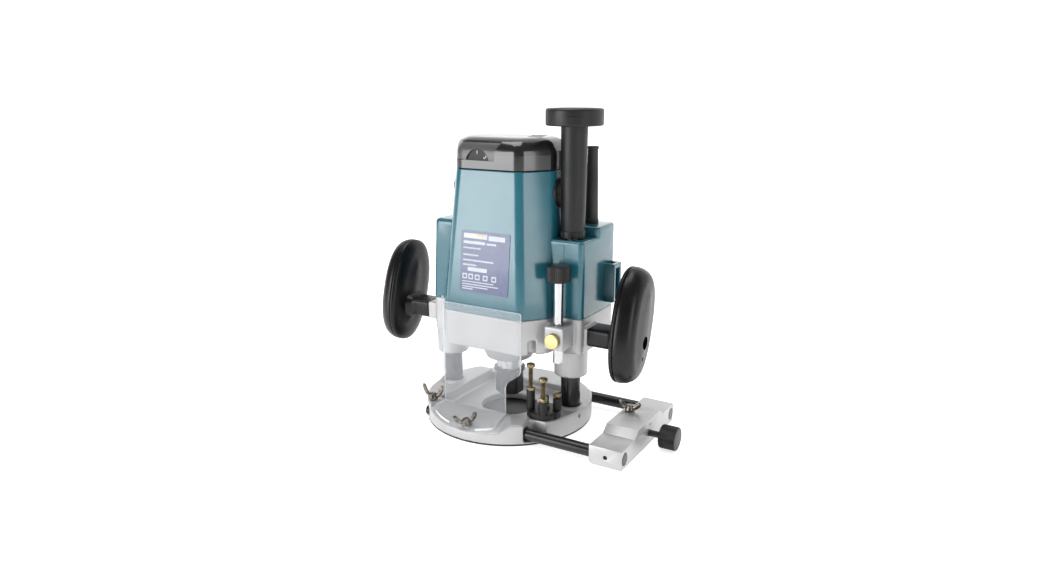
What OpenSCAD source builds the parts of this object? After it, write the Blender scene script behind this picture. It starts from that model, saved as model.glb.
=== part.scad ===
// Plunge router: round base on two columns, motor unit that slides down them, depth stops and guide.
// Origin: spindle axis at the underside of the base. +X towards the right grip, +Y to the back, +Z up.

/* [Base] */
// Outer diameter of the round base
base_d = 160; // [159:0.5:161]
// Height of the base rim above the table
rim_h = 20; // [19.5:0.5:20]
// Height of the lower rim behind the rear guide rod
back_rim_h = 16.5; // [16:0.5:18]
// Height of the floor inside the base
floor_h = 8; // [7:0.5:9]
// Thickness of the plastic sub-base
sub_base_t = 1.5; // [1:0.5:2]
// Diameter of the opening that the cutter passes through
opening_d = 54; // [50:1:56]

/* [Columns and stop screw] */
// Diameter of the two plunge columns
column_d = 18; // [17:0.5:18]
// Distance of each column from the spindle axis
column_x = 66.5; // [66:0.5:67]
// Height of the top of each column
column_top = 122; // [118:1:124]
// Diameter of the threaded stop rod on the right column
stop_rod_d = 10; // [9:0.5:10]
// Diameter of the round knob on top of the stop sleeve
stop_knob_d = 50; // [46:1:52]

/* [Motor unit] */
// Height of the joint between bracket and motor housing
joint_z = 110; // [110:1:110]
// Height of the seam between motor housing and top cover
seam_z = 238; // [236:1:240]
// Height of the top cover
cover_h = 28; // [26:1:30]
// Wall thickness of the moulded shells
wall = 2.5; // [2:0.5:2.5]
// Height of the lower edge of the bracket skirt
skirt_z = 77; // [76:0.5:78]
// Height of the lower end of the column bosses
boss_z = 52; // [52:0.5:54]

/* [Grips] */
// Distance of each grip's seam from the spindle axis
grip_x = 121; // [120:0.5:122]
// Height of each grip's centre
grip_z = 107.3; // [106:0.5:108]
// Length of each grip
grip_len = 103; // [101:1:105]
// Width of each grip, front to back
grip_w = 57.5; // [56:0.5:58]
// Depth of each grip's outer half
grip_t = 17.5; // [17:0.5:18]
// Tilt of the grips, tops towards the back
grip_tilt = 16; // [15:1:17]

/* [Depth stop] */
// Diameter of the depth pole
pole_d = 9; // [8:0.5:9]
// Height of the lower end of the depth pole
pole_bottom = 71; // [71:0.5:73]
// Diameter of the turret's disc
turret_d = 31; // [30:0.5:31]
// Radius from the turret's axis to its posts
post_circle_r = 12; // [11.5:0.25:12]

/* [Guide holder] */
// Diameter of the two guide rods
rod_d = 10.8; // [10:0.2:10.8]
// Distance of each guide rod from the spindle axis, front to back
rod_y = 54; // [53.5:0.5:54]
// Height of the guide rods' axes
rod_z = 8.6; // [8.4:0.1:8.8]
// Distance from the spindle axis to the near face of the guide holder
holder_x = 115.4; // [112:0.2:120]

/* [Collet] */
// Diameter of the collet's bore
collet_bore_d = 12; // [6:1:12]

/* [Hidden] */
$fn = 48;
running = 0.04;              // radial clearance of a running fit
corner_steps = 4;            // straight pieces that a rounded outline corner takes

base_r = base_d / 2;
column_r = column_d / 2;
rod_r = rod_d / 2;
cover_top = seam_z + cover_h;
bush_r = 12;
boss_r = 15.5;

collet_z = 22;               // lower end of the collet nut
nose_z = 58;                 // lower end of the spindle nose
shaft_r = 12.5;
bearing_r = 23.5;
brush_z = 218;
brush_y = 2;
cavity_z = 93;               // floor of the motor cavity in the bracket

shoulder_front = -17;
right_x = 85;                // outer face of the right shoulder
left_x = 77;                 // outer face of the left shoulder
step_y = 14;                 // where the right shoulder steps up
low_z = 179;
high_z = 187.5;
back_y = 50;

sleeve_z = low_z + 0.3;
knob_z = 276.5;
knob_h = 14.5;

turret_x = 56;
turret_y = -31.8;
turret_angle = 26;           // direction of the post that stands under the depth pole
bolt_clear_r = 4.4;
trigger_pin_y = 23.8;
trigger_pin_z = 28;

pole_x = 67.9;
pole_y = -28.2;
lug_front = -37.5;
lug_z = 85;
lug_h = 21;

arm_x = 88;                  // where the black arm meets the grey stub
arm_z = 93;
arm_h = 17;
arm_w = 24;
inner_t = 8;                 // depth of a grip's inner half

guard_x = 67;
guard_y = 36;
slope_k = 0.33;              // slope of the rim under the shield
shield_bolt_y = -73;

dial_x = -11.5;
dial_z = 242.5;
dial_r = 15;
dial_front = -33.8;
dial_t = 5.5;
panel_z = 246;               // lower edge of the dial's window

holder_w = 30.1;
holder_half = 60.3;
holder_h = 17;
pad_h = 23;
fine_y = 0;
fine_z = 10.8;
fine_knob_r = 10.5;
boss_points = [[34, -40.5], [-34, -40.5], [32, 40.5], [-32, 40.5]];
web_z = 232;                 // plate in the housing that holds the upper bearing
web_t = 3.5;
cover_screw_x = 36;
cover_screw_y = 12;

// ---- helpers ----

function unit(v) = v / norm(v);

// One rounded corner b between neighbours a and c, cut back by r along both sides
function corner(a, b, c, r) =
  let (p = b + unit(a - b) * r, q = b + unit(c - b) * r)
  [for (k = [0:corner_steps])
    let (t = k / corner_steps)
    (1 - t) * (1 - t) * p + 2 * t * (1 - t) * b + t * t * q];

function rounded(pts, r) =
  let (n = len(pts))
  [for (i = [0:n - 1]) each corner(pts[(i + n - 1) % n], pts[i], pts[(i + 1) % n], is_list(r) ? r[i] : r)];

// A closed outline from its right half, listed front to back
function both_sides(half) =
  concat(half, [for (i = [len(half) - 1:-1:0]) [-half[i].x, half[i].y]]);

// Motor housing section, shrunk by inset, at fraction k of the way from the joint to the seam
function tower_half(k, inset) =
  let (front = -48 + 12 * k + inset,
       back = 48 - 8 * k - inset,
       front_x = 40 - 8 * k - inset / 2,
       back_x = 38 - 6 * k - inset / 2,
       side_x = 58 - 6.5 * k - inset)
  [[front_x, front], [side_x, -26 + 17 * k], [side_x, 26 - 6 * k], [back_x, back]];

function tower_outline(k, inset) = rounded(both_sides(tower_half(k, inset)), 7);

function box_outline(x0, x1, y0, y1, r) = rounded([[x0, y0], [x1, y0], [x1, y1], [x0, y1]], r);

function ellipse_outline(w, l, n) =
  [for (i = [0:n - 1])
    let (a = 360 * i / n, c = cos(a), s = sin(a))
    [w / 2 * sign(c) * pow(abs(c), 0.85), l / 2 * sign(s) * pow(abs(s), 0.85)]];

module prism(pts, z0, z1) translate([0, 0, z0]) linear_extrude(z1 - z0) polygon(pts);

module at(x, y, z) translate([x, y, z]) children();

module rod_z(x, y, z0, z1, r) translate([x, y, z0]) cylinder(h = z1 - z0, r = r);

module rod_x(x0, x1, y, z, r) translate([x0, y, z]) rotate([0, 90, 0]) cylinder(h = x1 - x0, r = r);

module rod_y(x, y0, y1, z, r) translate([x, y1, z]) rotate([90, 0, 0]) cylinder(h = y1 - y0, r = r);

module both_x() {
  children();
  mirror([1, 0, 0]) children();
}

// Closed coil spring as one swept tube
module coil_spring(x, y, z0, z1, mean_r, wire_r, turns) {
  sides = 6;
  per_turn = 14;
  rings = turns * per_turn;
  pts = [for (i = [0:rings], j = [0:sides - 1])
    let (a = 360 * i / per_turn,
         b = 360 * j / sides,
         r = mean_r + wire_r * cos(b))
    [x + r * cos(a), y + r * sin(a),
     z0 + wire_r + (z1 - z0 - 2 * wire_r) * i / rings + wire_r * sin(b)]];
  walls = [for (i = [0:rings - 1], j = [0:sides - 1])
    let (a = i * sides + j, b = i * sides + (j + 1) % sides)
    [a, b, b + sides, a + sides]];
  polyhedron(pts, concat(walls,
    [[for (j = [sides - 1:-1:0]) j], [for (j = [0:sides - 1]) rings * sides + j]]));
}

// Wing bolt seated at z = 0: shank down by len, hub and two splayed wings above
module wing_bolt(len, wing_h) {
  rod_z(0, 0, -len, 0.1, 2.45);
  rod_z(0, 0, 0, 5.5, 4.4);
  both_x() rotate([90, 0, 0]) translate([0, 0, -1.1]) linear_extrude(2.2)
    polygon(rounded([[2, 1], [7.5, 3.5], [12.5, wing_h], [8.5, wing_h], [2, 5]], 1.2));
}

// ---- base ----

// Section of everything above the sloped front of the rim, drawn in Y and Z
module slope_section(drop) rotate([90, 0, 90]) linear_extrude(0.1)
  polygon([[-50, rim_h + 0.01], [-90, rim_h + 0.01 - drop], [-90, 40], [-50, 40]]);

// The cut that gives the rim its sloped face under the shield
module front_slope() {
  drop = 40 * slope_k;
  hull() { at(-47, 0, 0) slope_section(drop); at(30, 0, 0) slope_section(drop); }
  hull() { at(29.9, 0, 0) slope_section(drop); at(42, 0, 0) slope_section(0); }
  hull() { at(-46.9, 0, 0) slope_section(drop); at(-51, 0, 0) slope_section(0); }
}

// Puts a part on the sloped face, z up out of it, at the shield's bolt
module on_slope() at(0, shield_bolt_y, rim_h + slope_k * (shield_bolt_y + 50)) rotate([atan(slope_k), 0, 0]) children();

module base_casting() color("silver") difference() {
  union() {
    // ring wall and floor
    difference() {
      rod_z(0, 0, sub_base_t, rim_h, base_r);
      rod_z(0, 0, floor_h, rim_h + 1, base_r - 7);
    }
    // solid front and back segments that carry the guide rods
    intersection() {
      rod_z(0, 0, sub_base_t, rim_h, base_r);
      union() {
        at(-base_r, -base_r, 0) cube([base_d, base_r - 46, rim_h]);
        at(-base_r, 46, 0) cube([base_d, base_r - 46, rim_h]);
      }
    }
    // column feet
    both_x() intersection() {
      rod_z(0, 0, sub_base_t, rim_h + 2, base_r);
      union() {
        at(50, -47, 0) cube([30, 94, rim_h]);
        rod_z(column_x, 0, sub_base_t, rim_h + 2, 13.3);
      }
    }
    rod_z(turret_x, turret_y, sub_base_t, rim_h, 15);
  }
  rod_z(0, 0, -1, rim_h + 1, opening_d / 2);
  // lower rim behind the rear rod
  at(-base_r, 46, back_rim_h) cube([base_d, 40, 10]);
  both_x() rod_z(column_x, 0, 4, rim_h + 3, column_r);
  // guide rod bores
  for (y = [-rod_y, rod_y]) rod_x(-base_r, base_r, y, rod_z, rod_r + 0.06);
  // open channel at the mouth of the front rod bore
  at(50, -rod_y - 8.5, sub_base_t) cube([40, 17, rim_h]);
  // clamp, shield and pivot screw holes
  rod_z(-52, -rod_y, rod_z, rim_h + 1, 2.5);
  rod_z(40, rod_y, rod_z, rim_h + 1, 2.5);
  on_slope() rod_z(0, 0, -8.5, 5, 2.5);
  front_slope();
  rod_z(turret_x, turret_y, 7, rim_h + 1, 2.5);
  rod_x(base_r - 6, base_r + 1, -7, 15, 2.2);
  for (a = [45:90:315]) rotate(a) rod_z(42, 0, -1, floor_h + 1, 2.3);
}

module sub_base() color("black") difference() {
  rod_z(0, 0, 0, sub_base_t, base_r - 0.4);
  rod_z(0, 0, -1, sub_base_t + 1, opening_d / 2);
  for (a = [45:90:315]) rotate(a) rod_z(42, 0, -1, sub_base_t + 1, 2.3);
}

module sub_base_screws() color("silver") for (a = [45:90:315]) rotate(a) {
  rod_z(42, 0, 0.2, 6.5, 2.2);
}

module left_column() color("dimgray") difference() {
  rod_z(-column_x, 0, 4, column_top, column_r);
  rod_z(-column_x, 0, 60, column_top + 1, 6);
}

module right_column() color("dimgray") difference() {
  rod_z(column_x, 0, 4, column_top, column_r);
  rod_z(column_x, 0, 100, column_top + 1, stop_rod_d / 2);
}

module stop_rod() color("gray") rod_z(column_x, 0, 100, 268, stop_rod_d / 2);

module spring_guide_pin() color("gray") rod_z(-column_x, 0, 60, column_top + 20, 6);

module chip_shield() color([0.85, 0.92, 0.95, 0.4]) difference() {
  union() {
    // front panel
    at(0, -50, 0) rotate([90, 0, 0]) linear_extrude(2) polygon(concat(
      [[-39.8, 20], [-39.8, 118], [43, 118]],
      corner([43, 118], [43, 62], [27, 50], 9),
      corner([43, 62], [27, 50], [27, 20], 9),
      [[27, 20]]));
    // side wing along the left corner
    at(-39, -50, 48) rotate(129.3) translate([-1, 0, 0]) cube([23, 1.9, 69.5]);
    // flange on the sloped face of the rim
    intersection() {
      rod_z(0, 0, 0, rim_h + 3, base_r - 2);
      prism([[-39.8, -49.9], [-46, -60], [-38, -72], [-20, -78.5], [12, -78.5], [26.8, -71], [27, -49.9]],
            0, rim_h + 3);
      at(-60, 0, 0) rotate([90, 0, 90]) linear_extrude(120)
        polygon([[-49.9, rim_h + 0.06], [-90, rim_h + 0.03 - 40 * slope_k],
                 [-90, rim_h + 2.1 - 40 * slope_k], [-49.9, rim_h + 2.13]]);
    }
  }
  on_slope() rod_z(0, 0, -1, 6, 2.9);
}

module turret_pivot_screw() color("gray") union() {
  rod_z(turret_x, turret_y, 8, rim_h, 2.5);
  rod_z(turret_x, turret_y, rim_h, rim_h + 6.4, 3);
  rod_z(turret_x, turret_y, rim_h + 6.4, rim_h + 9, 5);
}

module plunge_springs() color("lightgray") {
  coil_spring(column_x, 0, column_top + 0.3, low_z - wall - 0.3, 7, 0.9, 9);
  coil_spring(-column_x, 0, column_top + 0.3, low_z - wall - 0.3, 7.6, 0.9, 9);
}

// ---- motor unit ----

module shoulder_outline_prism(z0, z1, inset) {
  prism(box_outline(40, right_x - inset, shoulder_front + inset, back_y - inset, 6), z0, z1);
  prism(box_outline(-left_x + inset, -40, shoulder_front + inset, back_y - 6 - inset, 6), z0, z1);
}

module motor_bracket() color("lightgray") difference() {
  union() {
    prism(tower_outline(0, 0), skirt_z, joint_z);
    shoulder_outline_prism(skirt_z, joint_z, 0);
    both_x() rod_z(column_x, 0, boss_z, joint_z, boss_r);
    // spindle nose and the boss of the lock pin
    at(0, 0, nose_z) cylinder(h = skirt_z - nose_z + 1, r1 = 22, r2 = 31);
    rod_y(0, 10, 36, 63.5, 6);
    // stubs that carry the grips
    both_x() at(70, -arm_w / 2 + 0.5, arm_z - arm_h / 2) cube([arm_x - 70, arm_w - 1, arm_h]);
    // depth pole lug
    at(58.5, lug_front, lug_z) cube([18.5, 25, lug_h]);
    // pivot of the plunge lock lever
    rod_y(-column_x, 14, 30.5, 63, 4);
  }
  // motor cavity with four screw pads, bearing seat and shaft passage
  difference() {
    prism(tower_outline(0, 5), cavity_z, joint_z + 1);
    for (p = boss_points) rod_z(p.x, p.y, cavity_z - 1, joint_z, 5.5);
  }
  for (p = boss_points) rod_z(p.x, p.y, skirt_z - 1, joint_z + 1, 2);
  rod_z(0, 0, 68, cavity_z + 1, bearing_r);
  rod_z(0, 0, nose_z - 1, 69, shaft_r + 1);
  rod_y(0, 8, 40, 63.5, 3 + running);
  // column bores
  both_x() {
    rod_z(column_x, 0, boss_z + 2, joint_z + 1, bush_r);
    rod_z(column_x, 0, boss_z - 1, boss_z + 3, column_r + 0.6);
  }
  // pockets that clear the tallest stop bolt at two of the turret's rests
  at(turret_x, turret_y, 0) for (turn = [90, 180]) rotate(turret_angle + turn)
    rod_z(post_circle_r, 0, skirt_z - 1, skirt_z + 13.3, bolt_clear_r);
  // depth pole and thumb screw bores
  rod_z(pole_x, pole_y, lug_z - 1, lug_z + lug_h + 1, pole_d / 2 + running);
  // counterbore that clears the tallest stop bolt
  rod_z(pole_x, pole_y, lug_z - 1, lug_z + 5, 6.3);
  rod_y(pole_x, lug_front - 1, pole_y - pole_d / 2, 94, 2.5);
  // grip screw holes
  both_x() rod_x(80, arm_x + 1, 0, arm_z, 3);
}

module brush_cap_hole() both_x() rod_x(40, 64, brush_y, brush_z, 13);

module dial_pocket() rod_y(dial_x, dial_front - 0.5, dial_front + dial_t + 0.8, dial_z, dial_r + 1.2);

module tower(inset) hull() {
  prism(tower_outline(0, inset), joint_z, joint_z + 0.1);
  prism(tower_outline(1, inset), seam_z - 0.1, seam_z);
}

module housing_shell() difference() {
  union() {
    tower(0);
    prism(box_outline(40, right_x, shoulder_front, back_y, 6), joint_z, low_z);
    prism(box_outline(40, right_x, step_y, back_y, 6), joint_z, high_z);
    prism(box_outline(-left_x, -40, shoulder_front, back_y - 6, 6), joint_z, high_z);
    // cable hook on the right face
    at(right_x - 1, 29, 116) cube([10.5, 4, 36]);
    at(right_x + 6.5, 29, 148) cube([3, 16.5, 4]);
    at(right_x - 1, 41.5, 116) cube([10.5, 4, 36]);
  }
  hull() {
    prism(tower_outline(0, wall), joint_z - 0.5, joint_z);
    prism(tower_outline(1, wall), seam_z, seam_z + 0.5);
  }
  prism(box_outline(45, right_x - wall, shoulder_front + wall, back_y - wall, 4), joint_z - 1, low_z - wall);
  prism(box_outline(45, right_x - wall, step_y + wall, back_y - wall, 4), joint_z - 1, high_z - wall);
  prism(box_outline(-left_x + wall, -45, shoulder_front + wall, back_y - 6 - wall, 4),
        joint_z - 1, low_z - wall);
}

// Ribs that hold the stator, and the plate that holds the upper bearing
module housing_ribs() intersection() {
  tower(wall / 2);
  union() {
    for (a = [45:90:315]) rotate(a) at(36, -2, 127) cube([40, 4, 56]);
    difference() {
      at(-60, -60, web_z) cube([120, 120, web_t]);
      rod_z(0, 0, web_z - 1, web_z + web_t + 1, 13);
      both_x() rod_z(cover_screw_x, cover_screw_y, web_z - 1, web_z + web_t + 1, 2);
    }
    for (p = boss_points) rod_z(p.x, p.y, joint_z, joint_z + 12, 5.5);
  }
}

module motor_housing() color("steelblue") difference() {
  union() {
    housing_shell();
    housing_ribs();
  }
  for (p = boss_points) rod_z(p.x, p.y, joint_z - 1, joint_z + 9, 2);
  rod_z(column_x, 0, low_z - wall - 1, low_z + 1, stop_rod_d / 2 + 0.6);
  // passage of the left column and its spring
  rod_z(-column_x, 0, joint_z - 1, low_z - wall, column_r + 0.6);
  brush_cap_hole();
  dial_pocket();
}

module cover_form(inset) hull() {
  prism(tower_outline(1, inset), seam_z - 0.1 * inset, seam_z + 14 - inset);
  prism(tower_outline(1, inset + 4), seam_z, cover_top - 7 - inset);
  prism(tower_outline(1, inset + 13), seam_z, cover_top - inset);
}

module top_cover() color("black") difference() {
  cover_form(0);
  cover_form(wall);
  dial_pocket();
  // window over the speed dial
  intersection() {
    rod_y(dial_x + 2, -45, dial_front + dial_t, dial_z, dial_r + 2.2);
    at(-40, -50, panel_z) cube([80, 30, 30]);
  }
  // cooling slots
  for (i = [0:6]) at(26 + 2.8 * i, 8, seam_z + 12) rotate([0, 0, 18]) cube([1.4, 40, 30]);
  both_x() rod_z(cover_screw_x, cover_screw_y, seam_z - 1, cover_top + 1, 2.1);
}

module cover_screws() color("gray") both_x() {
  rod_z(cover_screw_x, cover_screw_y, web_z, cover_top - 8, 2);
}

module housing_screws() color("gray") for (p = boss_points) {
  rod_z(p.x, p.y, skirt_z + 4, joint_z + 8, 2);
}

module column_bushes() color("goldenrod") both_x() difference() {
  rod_z(column_x, 0, boss_z + 2, joint_z - 0.5, bush_r);
  rod_z(column_x, 0, boss_z, joint_z, column_r + running);
}

module stator() color("dimgray") difference() {
  union() {
    rod_z(0, 0, 128, 182, 36);
    // end windings
    rod_z(0, 0, 121, 190, 31);
  }
  rod_z(0, 0, 120, 191, 23);
}

module brush_holders() color("goldenrod") both_x() difference() {
  at(16.5, brush_y - 5.5, brush_z - 6.5) cube([27.7, 11, 13]);
  at(15, brush_y - 3.2, brush_z - 4.2) cube([30, 6.4, 8.4]);
}

module carbon_brushes() color("dimgray") both_x() {
  at(14.6, brush_y - 3.1, brush_z - 4.1) cube([16, 6.2, 8.2]);
}

module brush_caps() color("black") both_x() difference() {
  union() {
    rod_x(46, 54.3, brush_y, brush_z, 12.9);
    rod_x(44.2, 47, brush_y, brush_z, 9);
  }
  at(53, brush_y - 9, brush_z - 1.3) cube([3, 18, 2.6]);
}

module cord_guard() color("black") difference() {
  union() {
    at(guard_x, guard_y, high_z) cylinder(h = 68, r1 = 6.6, r2 = 4.7);
    rod_z(guard_x, guard_y, high_z + 67, high_z + 69.5, 5.4);
  }
  rod_z(guard_x, guard_y, high_z - 1, high_z + 71, 3.3);
}

module label_plate() color("slateblue")
  at(0, -48, joint_z) rotate([-atan(12 / 128), 0, 0])
    at(-24, -0.62, 19.5) cube([51, 0.6, 55]);

module speed_module() color("seagreen") {
  at(-32, -24, web_z + web_t) cube([40, 9, 18]);
  rod_y(dial_x, dial_front + 2, -23.5, dial_z, 3);
}

module bearing(z0, z1, inner_r, outer_r) difference() {
  rod_z(0, 0, z0, z1, outer_r);
  rod_z(0, 0, z0 - 1, z1 + 1, inner_r + running);
}

module top_bearing() color("silver") bearing(231.5, 239.5, 5, 13);

module bottom_bearing() color("silver") bearing(68, 83, shaft_r, bearing_r);

module fan_baffle() color("dimgray") difference() {
  prism(tower_outline(0.06, wall + 0.6), 117.5, 119.5);
  rod_z(0, 0, 117, 120, 32);
  for (p = boss_points) rod_z(p.x, p.y, 117, 120, 6.5);
}

// ---- grips ----

// Grip shape in its own tilted frame, from local x = x0 outwards to x1
module grip_form(x0, x1, inset) hull() {
  rotate([90, 0, 90]) linear_extrude(abs(x1 - x0) * 0.45)
    polygon(ellipse_outline(grip_w - 2 * inset, grip_len - 2 * inset, 36));
  rotate([90, 0, 90]) linear_extrude(abs(x1 - x0) * 0.82)
    polygon(ellipse_outline(grip_w - 2 * inset - 7, grip_len - 2 * inset - 7, 36));
  rotate([90, 0, 90]) linear_extrude(abs(x1 - x0))
    polygon(ellipse_outline(grip_w - 2 * inset - 24, grip_len - 2 * inset - 24, 36));
}

module grip_place() at(grip_x, 0, grip_z) rotate([-grip_tilt, 0, 0]) children();

module grip_outer() difference() {
  union() {
    difference() {
      grip_place() grip_form(0, grip_t, 0);
      grip_place() at(-0.5, 0, 0) grip_form(0, grip_t - wall, wall);
    }
    intersection() {
      grip_place() grip_form(0, grip_t, 0);
      rod_x(grip_x, grip_x + 30, 0, arm_z, 9);
    }
  }
  rod_x(grip_x + 8, grip_x + 30, 0, arm_z, 6);
  rod_x(grip_x - 1, grip_x + 10, 0, arm_z, 3.1);
}

module grip_inner() difference() {
  union() {
    difference() {
      union() {
        grip_place() mirror([1, 0, 0]) grip_form(0, inner_t, 0);
        at(arm_x, -arm_w / 2, arm_z - arm_h / 2) cube([grip_x - 2 - arm_x, arm_w, arm_h]);
        // neck that flares into the grip
        hull() {
          at(grip_x - 17, -arm_w / 2, arm_z - arm_h / 2) cube([1, arm_w, arm_h]);
          at(grip_x - 7, -arm_w / 2 - 4, arm_z - arm_h / 2 - 4) cube([1, arm_w + 8, arm_h + 8]);
        }
      }
      grip_place() mirror([1, 0, 0]) at(-0.5, 0, 0) grip_form(0, inner_t - wall, wall);
      at(arm_x + wall, -arm_w / 2 + wall, arm_z - arm_h / 2 + wall)
        cube([grip_x - arm_x, arm_w - 2 * wall, arm_h - 2 * wall]);
    }
    rod_x(arm_x, grip_x, 0, arm_z, 7);
  }
  rod_x(arm_x - 1, grip_x + 1, 0, arm_z, 3.1);
}

// Slot for the trigger, in the grip's tilted frame
module trigger_slot() grip_place() at(-4.2, 19, -12) cube([13.4, 16, 46]);

module right_grip_inner() color("black") {
  difference() {
    grip_inner();
    trigger_slot();
    grip_place() rod_x(-30, -2, 2, 31, 4.9);
  }
  // pin that the trigger turns on
  grip_place() rod_x(-6, -0.3, trigger_pin_y, trigger_pin_z, 1.5);
}

module right_grip_outer() color("black") difference() {
  grip_outer();
  trigger_slot();
}

module left_grip_inner() color("black") mirror([1, 0, 0]) grip_inner();

module left_grip_outer() color("black") mirror([1, 0, 0]) grip_outer();

module grip_screws() color("gray") both_x() {
  rod_x(80, grip_x + 8.2, 0, arm_z, 2.95);
  rod_x(grip_x + 8.1, grip_x + 12, 0, arm_z, 5);
}

module switch_body() color("dimgray") grip_place() at(-3.5, -6, -3.2) cube([14, 22, 27]);

module trigger() color("black") grip_place() difference() {
  rotate([90, 0, 90]) translate([0, 0, -3.5]) linear_extrude(12)
    polygon(rounded([[21.2, 31], [27.2, 31], [30.2, 16], [31.2, -2], [27.7, -9.5], [21.2, -6]], 2.5));
  rod_x(-5, 0.2, trigger_pin_y, trigger_pin_z, 1.5 + running);
}

module lock_on_button() color("black") grip_place() rod_x(-12, -3.5, 2, 31, 4.5);

// ---- rotor ----

module spindle() color("silver") difference() {
  union() {
    rod_z(0, 0, 44.3, 85, shaft_r);
    rod_z(0, 0, 84, 127, 9);
    rod_z(0, 0, 126, 239, 5);
  }
  // collet taper and bore
  at(0, 0, 44.2) cylinder(h = 14, r1 = 8.6, r2 = 7.2);
  rod_z(0, 0, 44, 74, 6.2);
  // cross hole that the lock pin enters
  rod_y(0, -14, 14, 63.5, 3.3);
}

module rotor_core() color("gray") difference() {
  rod_z(0, 0, 129, 181, 22.3);
  rod_z(0, 0, 128, 182, 5);
}

module commutator() color("peru") difference() {
  rod_z(0, 0, 206, 229, 14);
  rod_z(0, 0, 205, 230, 5);
}

module fan() color("white") difference() {
  union() {
    rod_z(0, 0, 97, 99.5, 31);
    rod_z(0, 0, 97, 113, 13);
    for (a = [0:30:330]) rotate(a) at(10, -0.8, 98) cube([21, 1.6, 15]);
  }
  rod_z(0, 0, 96, 114, 9);
}

module collet_cone() color("silver") difference() {
  at(0, 0, 44.3) cylinder(h = 12, r1 = 8.5, r2 = 7.2);
  rod_z(0, 0, 44, 57, collet_bore_d / 2);
}

module collet_nut() color("dimgray") difference() {
  union() {
    rod_z(0, 0, collet_z, 44.2, 13.3);
    rod_z(0, 0, 44.1, 47, 15);
  }
  rod_z(0, 0, collet_z - 1, 46, 6.6);
  rod_z(0, 0, 44.2, 48, shaft_r);
  // spanner flats
  for (a = [0:60:300]) rotate(a) at(12.2, -10, collet_z - 1) cube([4, 20, 16]);
}

// ---- controls ----

module speed_dial() color("dimgray") difference() {
  rod_y(dial_x, dial_front, dial_front + dial_t, dial_z, dial_r);
  rod_y(dial_x, dial_front + 1.6, dial_front + dial_t + 1, dial_z, 3 + running);
}

module spindle_lock_pin() color("gray") {
  rod_y(0, 13.3, 42, 63.5, 3);
  rod_y(0, 41, 46, 63.5, 5.5);
}

module plunge_lock_lever() color("black") difference() {
  union() {
    rod_y(-column_x, 22.5, 30, 63, 8.5);
    at(-column_x, 24, 63) rotate([0, 20, 0]) at(-31, 0, -4) cube([28, 5, 8]);
  }
  rod_y(-column_x, 20, 31, 63, 4 + running);
}

module depth_pole() color("silver") rod_z(pole_x, pole_y, pole_bottom, 150, pole_d / 2);

module depth_pole_knob() color("black") difference() {
  rod_z(pole_x, pole_y, 145.5, 159.5, 10.4);
  rod_z(pole_x, pole_y, 145, 150.3, pole_d / 2 + running);
}

module pole_thumb_screw() color("gold") {
  rod_y(pole_x, lug_front - 4, lug_front - 0.3, 94, 6.75);
  rod_y(pole_x, lug_front - 0.4, pole_y - pole_d / 2 - 0.3, 94, 2.45);
}

// Post i of the turret: its local frame has its axis at the origin
module post_place(i) at(turret_x, turret_y, rim_h) rotate(turret_angle + 90 * i)
  translate([post_circle_r, 0, 0]) children();

post_tops = [17, 14, 24, 18];

module turret() color("black") difference() {
  union() {
    rod_z(turret_x, turret_y, rim_h + 0.3, rim_h + 6, turret_d / 2);
    for (i = [0:3]) post_place(i) rod_z(0, 0, 0.3, post_tops[i], 3.9);
  }
  rod_z(turret_x, turret_y, rim_h, rim_h + 7, 3 + running);
  for (i = [0:3]) post_place(i) rod_z(0, 0, 3, post_tops[i] + 1, 2.2);
}

module turret_bolt(i, top) post_place(i) {
  rod_z(0, 0, 4, top - 1, 2.15);
  rod_z(0, 0, top - 3, top, 3.9);
  if (top - post_tops[i] > 10) rod_z(0, 0, post_tops[i] + 0.05, post_tops[i] + 3, 3.9);
}

module turret_bolts() color("gold") {
  turret_bolt(0, 22);
  turret_bolt(2, 49);
  turret_bolt(3, 40);
}

module stop_sleeve() color("black") difference() {
  union() {
    rod_z(column_x, 0, sleeve_z, sleeve_z + 6.5, 11.2);
    at(column_x, 0, sleeve_z + 6) cylinder(h = knob_z - sleeve_z - 6, r1 = 10.6, r2 = 11.7);
  }
  rod_z(column_x, 0, sleeve_z - 1, 274, stop_rod_d / 2 + running);
}

module stop_knob() color("black") difference() {
  union() {
    rod_z(column_x, 0, knob_z, knob_z + knob_h - 2, stop_knob_d / 2);
    at(column_x, 0, knob_z + knob_h - 2.1) cylinder(h = 2.1, r1 = stop_knob_d / 2, r2 = stop_knob_d / 2 - 3);
  }
  rod_z(column_x, 0, 281, 287, 6 + running);
}

module thrust_washer() color("goldenrod") rod_z(column_x, 0, 281.2, 286.8, 6);

// ---- guide holder ----

module guide_rods() color("dimgray") for (y = [-rod_y, rod_y]) {
  rod_x(-58, holder_x + holder_w - 0.4, y, rod_z, rod_r);
}

module guide_holder() color("silver") difference() {
  union() {
    at(holder_x, holder_half, 0) rotate([90, 0, 0]) linear_extrude(2 * holder_half)
      polygon([[0, 2], [3, 0], [holder_w, 0], [holder_w, holder_h], [0, holder_h]]);
    at(holder_x, 0, 0) rotate([90, 0, 90]) linear_extrude(holder_w)
      polygon([[-33, 1], [33, 1], [33, holder_h], [25, pad_h], [-25, pad_h], [-33, holder_h]]);
  }
  for (y = [-rod_y, rod_y]) rod_x(holder_x - 1, holder_x + holder_w + 1, y, rod_z, rod_r);
  rod_z(122, 10, 12, pad_h + 1, 2.5);
  rod_x(holder_x + 12, holder_x + holder_w + 1, fine_y, fine_z, 3);
  rod_x(holder_x + 20, holder_x + holder_w + 1, fine_y + 1, fine_z + 7.5, 1.2);
  rod_y(holder_x + holder_w / 2, -holder_half - 1, -rod_y - rod_r + 1, rod_z, 1.9);
}

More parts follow.
